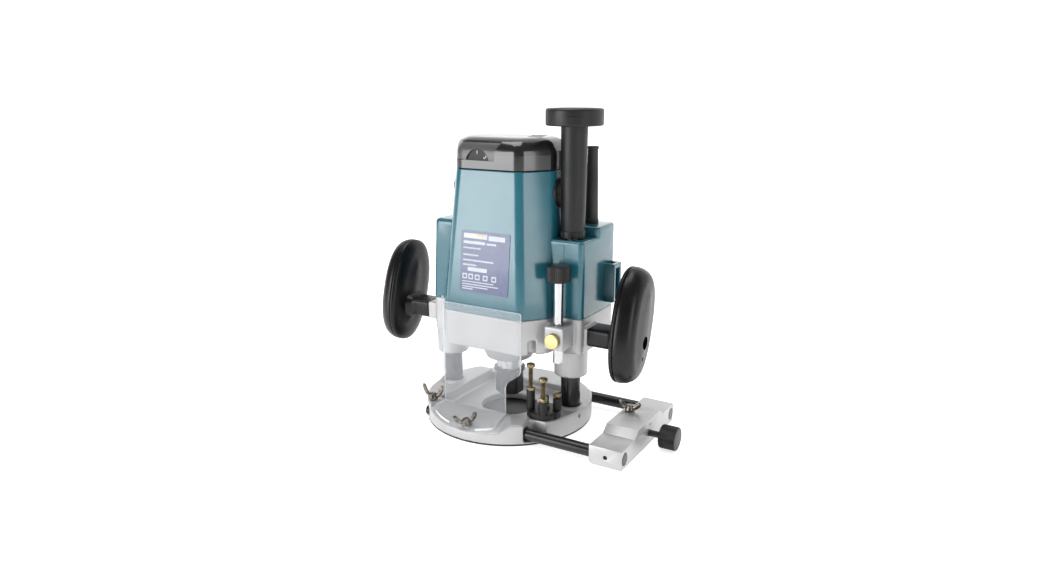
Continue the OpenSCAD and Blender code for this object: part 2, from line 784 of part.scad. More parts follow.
module fine_adjust_knob() color("black") {
  rod_x(holder_x + 14, 158, fine_y, fine_z, 2.95);
  rod_x(157, 172, fine_y, fine_z, fine_knob_r);
}

module holder_wing_bolt() color("tan") at(122, 10, pad_h + 0.3) wing_bolt(9, 9.5);

module shield_wing_bolt() color("tan") on_slope() at(0, 0, 2.2) rotate(35) wing_bolt(9.5, 12);

module front_rod_wing_bolt() color("tan") at(-52, -rod_y, rim_h + 1.2) rotate(10) wing_bolt(6.7, 15);

module rear_rod_wing_bolt() color("tan") at(40, rod_y, back_rim_h + 1.5) rotate(60) wing_bolt(3.5, 13);

base_casting();
sub_base();
sub_base_screws();
left_column();
right_column();
stop_rod();
spring_guide_pin();
chip_shield();
turret_pivot_screw();
plunge_springs();
motor_bracket();
motor_housing();
top_cover();
cover_screws();
housing_screws();
column_bushes();
stator();
brush_holders();
carbon_brushes();
brush_caps();
cord_guard();
label_plate();
speed_module();
top_bearing();
bottom_bearing();
fan_baffle();
right_grip_inner();
right_grip_outer();
left_grip_inner();
left_grip_outer();
grip_screws();
switch_body();
spindle();
rotor_core();
commutator();
fan();
collet_cone();
collet_nut();
speed_dial();
trigger();
lock_on_button();
spindle_lock_pin();
plunge_lock_lever();
depth_pole();
depth_pole_knob();
pole_thumb_screw();
turret();
turret_bolts();
stop_sleeve();
stop_knob();
thrust_washer();
guide_rods();
guide_holder();
fine_adjust_knob();
holder_wing_bolt();
shield_wing_bolt();
front_rod_wing_bolt();
rear_rod_wing_bolt();
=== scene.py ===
"""Plunge router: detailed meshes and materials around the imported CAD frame. Lengths are in millimetres."""

import math

import bpy
import numpy as np
from mathutils import Matrix, Vector


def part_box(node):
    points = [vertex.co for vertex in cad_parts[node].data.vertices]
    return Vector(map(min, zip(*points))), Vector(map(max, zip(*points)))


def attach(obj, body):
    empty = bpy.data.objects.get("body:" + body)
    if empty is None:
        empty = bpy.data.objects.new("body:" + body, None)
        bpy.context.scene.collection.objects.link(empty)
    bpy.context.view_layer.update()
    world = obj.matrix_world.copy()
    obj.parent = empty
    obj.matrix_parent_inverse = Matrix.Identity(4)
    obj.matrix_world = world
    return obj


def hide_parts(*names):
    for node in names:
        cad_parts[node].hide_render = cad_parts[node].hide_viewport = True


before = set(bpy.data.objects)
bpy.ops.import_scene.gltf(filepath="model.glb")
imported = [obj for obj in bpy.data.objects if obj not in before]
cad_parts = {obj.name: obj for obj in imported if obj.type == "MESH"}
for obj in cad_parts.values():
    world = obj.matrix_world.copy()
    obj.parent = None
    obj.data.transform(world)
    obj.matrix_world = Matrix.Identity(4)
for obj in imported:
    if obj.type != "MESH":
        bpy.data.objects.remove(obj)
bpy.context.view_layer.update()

MM = 0.001
ORIGIN = np.zeros(3)


# ---------------------------------------------------------------- outlines

def unit(v):
    v = np.asarray(v, float)
    return v / np.linalg.norm(v)


def node_box(node):
    """Lowest and highest corner of a CAD node in millimetres."""
    lo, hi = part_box(node)
    return np.array(lo) / MM, np.array(hi) / MM


def arc_corner(before, corner, after, radius, steps):
    """Points of the fillet arc at one corner."""
    corner = np.asarray(corner, float)
    if radius <= 0:
        return [corner]
    a, b = unit(np.asarray(before, float) - corner), unit(np.asarray(after, float) - corner)
    half = math.acos(float(np.clip(a @ b, -0.99999, 0.99999))) / 2
    centre = corner + unit(a + b) * radius / math.sin(half)
    start, end = corner + a * radius / math.tan(half) - centre, corner + b * radius / math.tan(half) - centre
    turn = math.pi - 2 * half
    return [centre + (math.sin((1 - k / steps) * turn) * start
                      + math.sin(k / steps * turn) * end) / math.sin(turn)
            for k in range(steps + 1)]


def fillet(points, radii, steps=6, closed=True):
    """An outline with an arc at each corner; radii is one number or one for each corner."""
    count = len(points)
    out = []
    for i, p in enumerate(points):
        radius = radii[i] if hasattr(radii, "__len__") else radii
        if not closed and i in (0, count - 1):
            out.append(np.asarray(p, float))
        else:
            out += arc_corner(points[i - 1], p, points[(i + 1) % count], radius, steps)
    return np.array(out)


def shrink(outline, distance):
    """The counter-clockwise outline moved inwards by distance."""
    outline = np.asarray(outline, float)
    edge = np.roll(outline, -1, axis=0) - outline
    length = np.linalg.norm(edge, axis=1, keepdims=True)
    normal = np.stack([-edge[:, 1], edge[:, 0]], axis=1) / np.maximum(length, 1e-9)
    both = normal + np.roll(normal, 1, axis=0)
    size = np.linalg.norm(both, axis=1, keepdims=True)
    both = both / np.maximum(size, 1e-9)
    share = np.clip((both * normal).sum(axis=1, keepdims=True), 0.35, 1)
    return outline + both * distance / share


def rectangle(x0, x1, y0, y1):
    return [(x0, y0), (x1, y0), (x1, y1), (x0, y1)]


def circle(radius, steps=64, centre=(0, 0), start=0.0):
    angles = np.radians(start) + np.linspace(0, 2 * math.pi, steps, endpoint=False)
    return np.stack([centre[0] + radius * np.cos(angles), centre[1] + radius * np.sin(angles)], axis=1)


# ---------------------------------------------------------------- meshes

def make(name, points, faces):
    mesh = bpy.data.meshes.new(name)
    mesh.from_pydata([tuple(float(c) * MM for c in p) for p in points], [], [tuple(f) for f in faces])
    mesh.update()
    obj = bpy.data.objects.new(name, mesh)
    bpy.context.scene.collection.objects.link(obj)
    return obj


def loft(name, rings, ends=True, closed_loop=False):
    """A skin over equal rings of points."""
    count = len(rings[0])
    points = [p for ring in rings for p in ring]
    faces = []
    spans = len(rings) if closed_loop else len(rings) - 1
    for i in range(spans):
        a, b = i * count, ((i + 1) % len(rings)) * count
        faces += [(a + j, a + (j + 1) % count, b + (j + 1) % count, b + j) for j in range(count)]
    if ends and not closed_loop:
        faces += [tuple(range(count - 1, -1, -1)), tuple((len(rings) - 1) * count + j for j in range(count))]
    return make(name, points, faces)


def at_height(outline, z):
    outline = np.asarray(outline, float)
    return np.column_stack([outline, np.full(len(outline), float(z))])


def block(name, outline, z0, z1, bottom_r=0.0, top_r=0.0, levels=1, steps=5):
    """A prism with rounded bottom and top edges; outline is points or a function of the height."""
    at = outline if callable(outline) else (lambda z: outline)
    rings = []
    if bottom_r > 0:
        for k in range(steps):
            t = k / steps * math.pi / 2
            z = z0 + bottom_r * (1 - math.cos(t))
            rings.append(at_height(shrink(at(z), bottom_r * (1 - math.sin(t))), z))
    low, high = z0 + bottom_r, z1 - top_r
    for k in range(levels + 1):
        z = low + (high - low) * k / levels
        rings.append(at_height(at(z), z))
    if top_r > 0:
        for k in range(1, steps + 1):
            t = k / steps * math.pi / 2
            z = z1 - top_r * (1 - math.sin(t))
            rings.append(at_height(shrink(at(z), top_r * (1 - math.cos(t))), z))
    return loft(name, rings)


def axis_frame(axis):
    """Matrix whose third column is axis."""
    w = Vector(axis).normalized()
    helper = Vector((0, 0, 1)) if abs(w.z) < 0.9 else Vector((1, 0, 0))
    u = helper.cross(w).normalized()
    return np.array([u, w.cross(u), w]).T


def lathe(name, profile, centre=(0, 0, 0), axis=(0, 0, 1), segments=64):
    """Turns a profile of (radius, height) points about an axis through centre."""
    basis = axis_frame(axis)
    rings = []
    for radius, height in profile:
        angles = np.linspace(0, 2 * math.pi, segments, endpoint=False)
        ring = np.stack([radius * np.cos(angles), radius * np.sin(angles), np.full(segments, height)],
                        axis=1)
        rings.append(ring @ basis.T + np.asarray(centre, float))
    obj = loft(name, rings)
    return obj


def turned(name, points, radii, centre=(0, 0, 0), axis=(0, 0, 1), segments=64, steps=4):
    """A lathe piece whose profile corners are rounded."""
    return lathe(name, fillet(points, radii, steps, closed=False), centre, axis, segments)


def bar(name, start, end, radius, segments=48, edge=0.0):
    """A round bar from start to end, with rounded ends."""
    start, end = np.asarray(start, float), np.asarray(end, float)
    length = float(np.linalg.norm(end - start))
    if edge > 0:
        return turned(name, [(radius * 0.3, 0), (radius, 0), (radius, length), (radius * 0.3, length)],
                      edge, start, end - start, segments)
    return lathe(name, [(radius, 0), (radius, length)], start, end - start, segments)


def cuboid(name, low, high, edge=0.0, steps=3):
    """A box with rounded edges."""
    low, high = np.asarray(low, float), np.asarray(high, float)
    outline = rectangle(low[0], high[0], low[1], high[1])
    if edge > 0:
        return block(name, fillet(outline, edge, steps), low[2], high[2], edge * 0.7, edge * 0.7,
                     steps=steps)
    return block(name, outline, low[2], high[2])


def apply_modifiers(obj):
    bpy.context.view_layer.update()
    graph = bpy.context.evaluated_depsgraph_get()
    mesh = bpy.data.meshes.new_from_object(obj.evaluated_get(graph))
    obj.modifiers.clear()
    old = obj.data
    obj.data = mesh
    bpy.data.meshes.remove(old)
    return obj


def combine(obj, tool, operation):
    modifier = obj.modifiers.new("combine", "BOOLEAN")
    modifier.operation = operation
    modifier.solver = "EXACT"
    modifier.object = tool
    apply_modifiers(obj)
    bpy.data.objects.remove(tool)
    return obj


def add(obj, *tools):
    for tool in tools:
        combine(obj, tool, "UNION")
    return obj


def cut(obj, *tools):
    for tool in tools:
        combine(obj, tool, "DIFFERENCE")
    return obj


def merge(name, *parts):
    """One object from separate closed pieces, keeping each one's materials."""
    points, faces, slots, materials = [], [], [], []
    for part in parts:
        first = len(points)
        points += [v.co / MM for v in part.data.vertices]
        places = []
        for material in part.data.materials:
            if material not in materials:
                materials.append(material)
            places.append(materials.index(material))
        for polygon in part.data.polygons:
            faces.append([first + i for i in polygon.vertices])
            slots.append(places[polygon.material_index] if places else 0)
        bpy.data.objects.remove(part)
    obj = make(name, points, faces)
    for material in materials:
        obj.data.materials.append(material)
    if materials:
        obj.data.polygons.foreach_set("material_index", slots)
    return obj


def moved(obj, matrix):
    """obj with its mesh carried by a matrix whose translation is in millimetres."""
    scaled = matrix.copy()
    scaled.translation = scaled.translation * MM
    obj.data.transform(scaled)
    return obj


def cast(obj, voxel, smooth=4, factor=0.5):
    """Gives a casting's soft edges: an even remesh, then smoothing."""
    remesh = obj.modifiers.new("cast", "REMESH")
    remesh.mode = "VOXEL"
    remesh.voxel_size = voxel * MM * 1.0
    soften = obj.modifiers.new("soften", "SMOOTH")
    soften.factor = factor
    soften.iterations = smooth
    apply_modifiers(obj)
    obj["soft"] = True
    return obj


def bevel(obj, width, segments=2, angle=35):
    modifier = obj.modifiers.new("bevel", "BEVEL")
    modifier.width = width * MM
    modifier.segments = segments
    modifier.limit_method = "ANGLE"
    modifier.angle_limit = math.radians(angle)
    modifier.use_clamp_overlap = True
    return apply_modifiers(obj)


def place(obj, body, material=None, replaces=(), sharp=38):
    """Shading, material, body and the CAD nodes that the piece stands for."""
    if material is not None:
        obj.data.materials.clear()
        obj.data.materials.append(material)
    obj.data.polygons.foreach_set("use_smooth", [True] * len(obj.data.polygons))
    if not obj.get("soft"):
        obj.data.set_sharp_from_angle(angle=math.radians(sharp))
    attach(obj, body)
    if replaces:
        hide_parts(*replaces)
    return obj


# ---------------------------------------------------------------- materials

def node_material(name):
    material = bpy.data.materials.new(name)
    material.use_nodes = True
    nodes, links = material.node_tree.nodes, material.node_tree.links
    return material, nodes, links, nodes["Principled BSDF"]


def noise(nodes, links, scale, detail=4.0, rough=0.5):
    where = nodes.new("ShaderNodeTexCoord")
    texture = nodes.new("ShaderNodeTexNoise")
    texture.inputs["Scale"].default_value = scale
    texture.inputs["Detail"].default_value = detail
    texture.inputs["Roughness"].default_value = rough
    links.new(where.outputs["Object"], texture.inputs["Vector"])
    return texture.outputs["Fac"]


def ramp(nodes, links, value, low, high, start=0.3, stop=0.7):
    """A colour ramp between two colours or greys."""
    node = nodes.new("ShaderNodeValToRGB")
    elements = node.color_ramp.elements
    elements[0].position, elements[1].position = start, stop
    grey = isinstance(low, (int, float))
    elements[0].color = (low, low, low, 1) if grey else (*low, 1)
    elements[1].color = (high, high, high, 1) if grey else (*high, 1)
    links.new(value, node.inputs["Fac"])
    return node.outputs["Color"]


def bump(nodes, links, shader, height, strength, distance=0.0002):
    node = nodes.new("ShaderNodeBump")
    node.inputs["Strength"].default_value = strength
    node.inputs["Distance"].default_value = distance
    links.new(height, node.inputs["Height"])
    links.new(node.outputs["Normal"], shader.inputs["Normal"])
    return node


def finish_material(name, low, high, rough, metallic=0.0, scale=60.0, grain=900.0, grain_depth=0.1,
                    distance=0.0002, coat=0.0, coat_rough=0.05, specular=0.5, patch=0.6):
    """Colour that drifts between two tones, uneven roughness and a fine surface grain."""
    material, nodes, links, shader = node_material(name)
    links.new(ramp(nodes, links, noise(nodes, links, scale), low, high), shader.inputs["Base Color"])
    links.new(ramp(nodes, links, noise(nodes, links, scale * patch, 6), rough[0], rough[1]),
              shader.inputs["Roughness"])
    shader.inputs["Metallic"].default_value = metallic
    shader.inputs["Specular IOR Level"].default_value = specular
    shader.inputs["Coat Weight"].default_value = coat
    shader.inputs["Coat Roughness"].default_value = coat_rough
    if grain_depth > 0:
        bump(nodes, links, shader, noise(nodes, links, grain, 3), grain_depth, distance)
    return material


def shade(r, g, b, k=1.0):
    return (r * k, g * k, b * k)


TEAL = (0.015, 0.125, 0.168)
teal = finish_material("teal_moulding", shade(*TEAL, 0.94), shade(*TEAL, 1.06), (0.20, 0.27), grain=1500,
                       grain_depth=0.03, coat=0.6, coat_rough=0.16)
cover_black = finish_material("cover_black", (0.010, 0.011, 0.012), (0.014, 0.014, 0.015), (0.14, 0.22),
                              grain=1500, grain_depth=0.02, coat=0.4)
panel_grey = finish_material("panel_grey", (0.070, 0.070, 0.072), (0.085, 0.085, 0.087), (0.26, 0.34),
                             grain=2400, grain_depth=0.06)
grip_black = finish_material("grip_black", (0.0040, 0.0040, 0.0045), (0.0070, 0.0070, 0.0075), (0.24, 0.33),
                             grain=2600, grain_depth=0.10, specular=0.3)
knob_black = finish_material("knob_black", (0.0075, 0.0075, 0.0080), (0.0120, 0.0120, 0.0125), (0.36, 0.48),
                             grain=3000, grain_depth=0.18, specular=0.35)
rubber = finish_material("rubber_black", (0.018, 0.018, 0.018), (0.026, 0.026, 0.026), (0.55, 0.7),
                         grain=2600, grain_depth=0.2)
alloy = finish_material("cast_alloy", (0.42, 0.42, 0.425), (0.50, 0.50, 0.505), (0.34, 0.46), metallic=0.35,
                        scale=35, grain=1700, grain_depth=0.22, distance=0.0003, specular=0.55)
milled = finish_material("milled_alloy", (0.46, 0.46, 0.46), (0.52, 0.52, 0.52), (0.34, 0.42),
                         metallic=0.45,
                         scale=40, grain=2600, grain_depth=0.08)
oxide = finish_material("black_oxide", (0.016, 0.016, 0.017), (0.026, 0.026, 0.027), (0.20, 0.32),
                        metallic=0.5,
                        grain=2200, grain_depth=0.06, specular=0.6)
chrome = finish_material("chrome", (0.50, 0.50, 0.51), (0.58, 0.58, 0.59), (0.06, 0.12), metallic=1.0,
                         grain=2600, grain_depth=0.02)
steel = finish_material("ground_steel", (0.42, 0.42, 0.43), (0.52, 0.52, 0.53), (0.22, 0.34), metallic=1.0,
                        grain=2600, grain_depth=0.08)
dark_steel = finish_material("dark_steel", (0.045, 0.045, 0.048), (0.07, 0.07, 0.072), (0.30, 0.42),
                             metallic=0.8,
                             grain=2200, grain_depth=0.1)
nickel = finish_material("tarnished_nickel", (0.06, 0.052, 0.045), (0.28, 0.25, 0.22), (0.24, 0.40),
                         metallic=1.0,
                         scale=260, grain=1800, grain_depth=0.2)
zinc = finish_material("yellow_zinc", (0.16, 0.12, 0.06), (0.36, 0.30, 0.19), (0.26, 0.42), metallic=1.0,
                       scale=240, grain=2200, grain_depth=0.12)
brass = finish_material("brass", (0.56, 0.45, 0.19), (0.66, 0.55, 0.27), (0.16, 0.26), metallic=1.0,
                        scale=120, grain=2200, grain_depth=0.06)
copper = finish_material("copper", (0.55, 0.24, 0.12), (0.66, 0.32, 0.18), (0.25, 0.4), metallic=1.0)
laminate = finish_material("sub_base_laminate", (0.012, 0.012, 0.013), (0.018, 0.018, 0.019), (0.42, 0.55),
                           grain=3000, grain_depth=0.2)
film = finish_material("label_film", (0.045, 0.065, 0.16), (0.06, 0.08, 0.19), (0.20, 0.30), grain=1500,
                       grain_depth=0.03, coat=0.3)
ink = finish_material("label_ink", (0.48, 0.50, 0.56), (0.56, 0.58, 0.64), (0.25, 0.35), grain_depth=0.0)
accent = finish_material("label_accent", (0.70, 0.36, 0.05), (0.80, 0.48, 0.12), (0.25, 0.35),
                         grain_depth=0.0)
digit_white = finish_material("digit_white", (0.75, 0.75, 0.75), (0.85, 0.85, 0.85), (0.4, 0.5),
                              grain_depth=0.0)


def clear_plastic():
    """Polycarbonate: mostly clear, with a milky haze and scuffs."""
    material, nodes, links, shader = node_material("clear_polycarbonate")
    shader.inputs["Base Color"].default_value = (0.72, 0.75, 0.78, 1)
    links.new(ramp(nodes, links, noise(nodes, links, 40, 6), 0.10, 0.20), shader.inputs["Roughness"])
    shader.inputs["Alpha"].default_value = 0.16
    shader.inputs["Coat Weight"].default_value = 0.3
    return material


clear = clear_plastic()
# Opaque near-white on the clear shield's edge faces: a painted glint standing in for light caught along the
# clear plastic's edges and bend.
painted_edge_glint = finish_material("painted_edge_glint", (0.88, 0.91, 0.95), (0.94, 0.96, 0.99), (0.15, 0.25),
                             grain_depth=0.0)


# ---------------------------------------------------------------- camera, floor and light

def studio():
    camera = bpy.data.objects.new("camera", bpy.data.cameras.new("camera"))
    bpy.context.scene.collection.objects.link(camera)
    camera.data.sensor_width = 36
    camera.data.lens = 26.73
    camera.data.clip_start = 0.01
    camera.location = (0.3756, -0.6052, 0.3087)
    back = Vector((0.4945, -0.8339, 0.2451))
    camera.rotation_mode = "QUATERNION"
    camera.rotation_quaternion = (-back).to_track_quat("-Z", "Y")
    bpy.context.scene.camera = camera

    floor_material, nodes, links, shader = node_material("pale_floor")
    links.new(ramp(nodes, links, noise(nodes, links, 3), 0.93, 0.95), shader.inputs["Base Color"])
    shader.inputs["Roughness"].default_value = 0.55
    shader.inputs["Specular IOR Level"].default_value = 0.2
    shader.inputs["Emission Color"].default_value = (1, 1, 1, 1)
    shader.inputs["Emission Strength"].default_value = 0.70
    sweep_r, back_y, half = 1.2, 3.0, 14.0
    profile = [(-6.0, 0.0), (back_y - sweep_r, 0.0)]
    profile += [(back_y - sweep_r + sweep_r * math.sin(t), sweep_r * (1 - math.cos(t)))
                for t in np.linspace(0.1, math.pi / 2, 12)]
    profile.append((back_y, 9.0))
    points, faces = [], []
    for i, (y, z) in enumerate(profile):
        points += [(-half / MM, y / MM, z / MM - 0.05), (half / MM, y / MM, z / MM - 0.05)]
        if i:
            faces.append((2 * i - 2, 2 * i - 1, 2 * i + 1, 2 * i))
    floor = make("floor", points, faces)
    floor.data.materials.append(floor_material)
    floor.data.polygons.foreach_set("use_smooth", [True] * len(floor.data.polygons))

    world = bpy.data.worlds.new("studio")
    world.use_nodes = True
    world.node_tree.nodes["Background"].inputs["Color"].default_value = (1, 1, 1, 1)
    world.node_tree.nodes["Background"].inputs["Strength"].default_value = 0.20
    bpy.context.scene.world = world
    bpy.context.scene.view_settings.view_transform = "Standard"

    for name, where, size, power in (("front_left", (-1.05, -1.75, 0.32), (1.2, 1.0), 26),
                                     ("right", (1.85, -0.65, 0.45), (0.4, 1.0), 5),
                                     ("top", (-0.35, -0.15, 2.0), (1.3, 1.3), 24)):
        light = bpy.data.objects.new(name, bpy.data.lights.new(name, "AREA"))
        light.data.shape = "RECTANGLE"
        light.data.size, light.data.size_y = size
        light.data.energy = power
        light.location = where
        light.rotation_mode = "QUATERNION"
        light.rotation_quaternion = (Vector(where) - Vector((0, 0, 0.13))).to_track_quat("Z", "Y")
        bpy.context.scene.collection.objects.link(light)


studio()

# ---------------------------------------------------------------- CAD nodes that stay

CAD_MATERIALS = {
    "sub_base": laminate, "sub_base_screws": dark_steel, "left_column": oxide, "right_column": oxide,
    "stop_rod": steel, "spring_guide_pin": steel, "turret_pivot_screw": steel, "plunge_springs": steel,
    "cover_screws": dark_steel, "housing_screws": dark_steel, "column_bushes": brass, "stator": dark_steel,
    "brush_holders": brass, "carbon_brushes": rubber, "speed_module": teal, "top_bearing": steel,
    "bottom_bearing": steel, "fan_baffle": knob_black, "grip_screws": dark_steel, "switch_body": knob_black,
    "spindle": steel, "rotor_core": dark_steel, "commutator": copper, "fan": panel_grey, "collet_cone": steel,
    "collet_nut": dark_steel, "trigger": grip_black, "lock_on_button": knob_black, "spindle_lock_pin": steel,
    "plunge_lock_lever": knob_black, "thrust_washer": brass, "guide_rods": oxide, "depth_pole": chrome,
    "base_casting": alloy, "motor_bracket": alloy, "guide_holder": milled, "motor_housing": teal,
    "top_cover": cover_black, "brush_caps": knob_black, "cord_guard": rubber, "label_plate": film,
    "right_grip_inner": grip_black, "right_grip_outer": grip_black, "left_grip_inner": grip_black,
    "left_grip_outer": grip_black, "speed_dial": knob_black, "depth_pole_knob": knob_black,
    "pole_thumb_screw": brass, "turret": knob_black, "turret_bolts": zinc, "stop_sleeve": knob_black,
    "stop_knob": knob_black, "fine_adjust_knob": knob_black, "holder_wing_bolt": nickel,
    "shield_wing_bolt": nickel, "front_rod_wing_bolt": nickel, "rear_rod_wing_bolt": nickel,
    "chip_shield": clear,
}
for cad_name, cad_material in CAD_MATERIALS.items():
    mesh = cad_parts[cad_name].data
    mesh.materials.clear()
    mesh.materials.append(cad_material)

# ---------------------------------------------------------------- motor housing and cover

JOINT_Z, SEAM_Z, TOP_Z = 110, 238, 266


def tower_corners(z):
    """Sharp corners of the tapering tower at a height, front right first."""
    k = (z - JOINT_Z) / (SEAM_Z - JOINT_Z)
    half = [(40 - 8 * k, -48 + 12 * k), (58 - 6.5 * k, -26 + 17 * k), (58 - 6.5 * k, 26 - 6 * k),
            (38 - 6 * k, 48 - 8 * k)]
    return half + [(-x, y) for x, y in reversed(half)]


def soft(points, radius):
    """Outline at a height and an inset, its corners rounded; points may be a function of the height."""
    def at(z, inset=0.0):
        corners = points(z) if callable(points) else points
        radii = radius if hasattr(radius, "__len__") else [radius] * len(corners)
        return fillet(shrink(corners, inset), [max(r - inset, 0.4) for r in radii], 5)
    return at


def left_shoulder_corners(z):
    outer = -77.5 + 3.5 * (z - JOINT_Z) / 77
    return rectangle(outer, -40, -17, 44)


tower_at = soft(tower_corners, 11)


DIAL = (-11.5, 242.5)         # x and z of the speed dial's centre, in millimetres


def housing():
    obj = block("housing", tower_at, JOINT_Z, SEAM_Z - 0.2, 0.5, 0.7, levels=8)
    low = block("low", soft(rectangle(40, 85, -17, 50), 4.5), JOINT_Z, 179, 0.5, 2.5, levels=2)
    high = block("high", soft(rectangle(44, 85, 14, 50), 4.5), JOINT_Z + 1, 187.5, 0.5, 2.5, levels=2)
    left = block("left", soft(left_shoulder_corners, 6), JOINT_Z, 187.5, 0.5, 4, levels=4)
    add(obj, low, high, left)
    cut(obj, bar("seat", (66.5, 0, 178), (66.5, 0, 181), 12.4),
        bar("dial", (DIAL[0], -35, DIAL[1]), (DIAL[0], -27.5, DIAL[1]), 15.4))
    # panel line round the front of the right shoulder
    cut(obj, cuboid("line", (66.6, -18, 112), (67.1, -16.6, 176)),
        bar("cap_r", (40, 2, 218), (64, 2, 218), 13.3), bar("cap_l", (-64, 2, 218), (-40, 2, 218), 13.3))
    add(obj, cuboid("hook_front", (83, 29, 116), (94.4, 33, 152), 1.0),
        cuboid("hook_back", (83, 41.5, 116), (94.4, 45.4, 152), 1.0),
        cuboid("hook_top", (90.7, 29.4, 147.7), (94.4, 45, 152), 1.0))
    place(obj, "motor", teal, ["motor_housing"])


def cover_ring(d, z, trim):
    return at_height(fillet(shrink(tower_corners(SEAM_Z), d + trim), 12, 5), z)


def cover_solid(name, trim):
    """The domed cover, shrunk all over by trim."""
    round_r = 15
    rings = [cover_ring(0.7, SEAM_Z + 0.2, trim), cover_ring(0, SEAM_Z + 0.9, trim),
             cover_ring(0, TOP_Z - round_r, trim)]
    for k in range(1, 13):
        t = k / 12 * math.pi / 2
        flat = 0.86
        height = TOP_Z - round_r + round_r * math.sin(t) ** flat
        rings.append(cover_ring(round_r * (1 - math.cos(t)), height, trim))
    rings = [r - np.array([0, 0, trim if r[0][2] > TOP_Z - round_r else 0]) for r in rings]
    return loft(name, rings)


def front_prism(name, outline, y0, y1):
    """A prism along Y whose outline is given in X and Z."""
    outline = np.asarray(outline, float)
    rings = [np.column_stack([outline[:, 0], np.full(len(outline), float(y)),
                              outline[:, 1]]) for y in (y1, y0)]
    return loft(name, rings)


def cover():
    obj = cover_solid("top_cover", 0)
    region = [(-70, 246), (7, 246), (8, 254), (13, 262.6), (-70, 262.6)]
    cut(obj, front_prism("region", region, -70, -8))
    backing = cover_solid("backing", 2.0)
    combine(backing, front_prism("keep", [(-70, 245), (8, 245), (9, 254), (14, 263), (-70, 263)], -70, -7),
            "INTERSECT")
    panel = cover_solid("cover_panel", 0.7)
    inside = [(-70, 246.35), (6.6, 246.35), (7.6, 254), (12.5, 262.2), (-70, 262.2)]
    combine(panel, front_prism("panel_region", inside, -70, -8.3), "INTERSECT")
    arch = np.linspace(0, math.pi, 32)
    window = np.column_stack([-10.6 + 12.6 * np.cos(arch), 240.6 + 15.6 * np.sin(arch) ** 0.85])
    for target in (panel, backing):
        cut(target, front_prism("window", window, -60, -27.6))
    for i in range(7):
        slot = cuboid("slot", (-0.75, 0, -3), (0.75, 34, 12))
        moved(slot, Matrix.Translation((25 + 2.9 * i, -8, 257 - 0.16 * i * i)) @ Matrix.Rotation(0.3, 4,
                                                                                                 "Z"))
        cut(obj, slot)
    obj.data.materials.append(cover_black)
    backing.data.materials.append(cover_black)
    obj = merge("top_cover", obj, backing)
    place(obj, "motor", None, ["top_cover"], sharp=30)
    place(panel, "motor", panel_grey, (), sharp=30)


def text_piece(name, word, size, matrix, thick=0.12):
    """Raised numerals as a mesh."""
    curve = bpy.data.curves.new(name, "FONT")
    curve.body = word
    curve.size = size * MM
    curve.extrude = thick * MM
    curve.align_x, curve.align_y = "CENTER", "CENTER"
    holder = bpy.data.objects.new(name, curve)
    bpy.context.scene.collection.objects.link(holder)
    bpy.context.view_layer.update()
    mesh = bpy.data.meshes.new_from_object(holder.evaluated_get(bpy.context.evaluated_depsgraph_get()))
    bpy.data.objects.remove(holder)
    obj = bpy.data.objects.new(name, mesh)
    bpy.context.scene.collection.objects.link(obj)
    return moved(obj, matrix)


def dial():
    (x, z), front, radius, depth = DIAL, -33.8, 14.8, 5.4
    body = turned("speed_dial", [(0.5, 0), (radius, 0), (radius, depth), (0.5, depth)], 0.8,
                  (x, front, z), (0, 1, 0))
    body.data.materials.append(knob_black)
    parts = [body]
    for i in range(6):
        turn = -math.radians(52) * i
        place_at = Matrix.Translation((x, front, z)) @ Matrix.Rotation(math.pi / 2, 4, "X")
        digit_at = place_at @ Matrix.Rotation(turn, 4, "Z") @ Matrix.Translation((0, 10.2, 0))
        mark = text_piece("digit", str(i + 1), 4.6, digit_at)
        mark.data.materials.append(digit_white)
        parts.append(mark)
    place(merge("speed_dial", *parts), "dial", None, ["speed_dial"])


def label():
    """The rating plate, with plain bars and shapes in place of its print."""
    tilt = math.atan(12 / 128)
    lean = Matrix.Translation((0, -48, JOINT_Z)) @ Matrix.Rotation(-tilt, 4, "X")
    parts = []

    def patch(x0, x1, z0, z1, depth, material, edge=0.0):
        piece = cuboid("patch", (x0, -depth, z0), (x1, -0.02, z1)) if not edge else front_prism(
            "patch", fillet(rectangle(x0, x1, z0, z1), edge, 4), -depth, -0.02)
        piece.data.materials.append(material)
        parts.append(moved(piece, lean))

    patch(-24, 27, 19.5, 74.5, 0.50, film, 1.4)
    patch(-21.5, 3.5, 68, 72.4, 0.56, ink)
    patch(-8, 2, 70.6, 71.8, 0.60, accent)
    patch(5, 22, 67.4, 71.6, 0.56, ink)
    patch(-21.5, 1.5, 63, 65.6, 0.56, ink)
    patch(3, 13, 63.3, 64.9, 0.56, ink)
    for z, end in ((58.6, -3), (52.4, -5), (47.6, 11), (43.4, -7)):
        patch(-21.5, end, z, z + 1.3, 0.56, ink)
    patch(-16, 4.5, 38.5, 42, 0.56, ink, 0.5)
    for i, x in enumerate((-21.5, -15, -8, 0.5, 9.5)):
        patch(x, x + 5, 31, 36, 0.56, ink, 0.6)
        patch(x + 1.1, x + 3.9, 32.2, 34.8, 0.60, film)
    for z, end in ((28.4, 12), (26.0, 17), (23.8, 6), (21.8, -10)):
        patch(-21.5, end, z, z + 0.9, 0.56, ink)
    place(merge("label_plate", *parts), "motor", None, ["label_plate"])


def brush_cap(side):
    obj = turned("brush_cap", [(1, 0), (12.9, 0), (12.9, 8.3), (8.5, 8.3), (8.5, 7.0), (1, 7.0)],
                 [0, 0.4, 1.2, 0.5, 0.4, 0], (side * 46, 2, 218), (side, 0, 0), 72)
    cut(obj, cuboid("slot", (52 if side > 0 else -55, -7, 216.7), (55 if side > 0 else -52, 11, 219.3)))
    obj.data.materials.append(knob_black)
    return obj


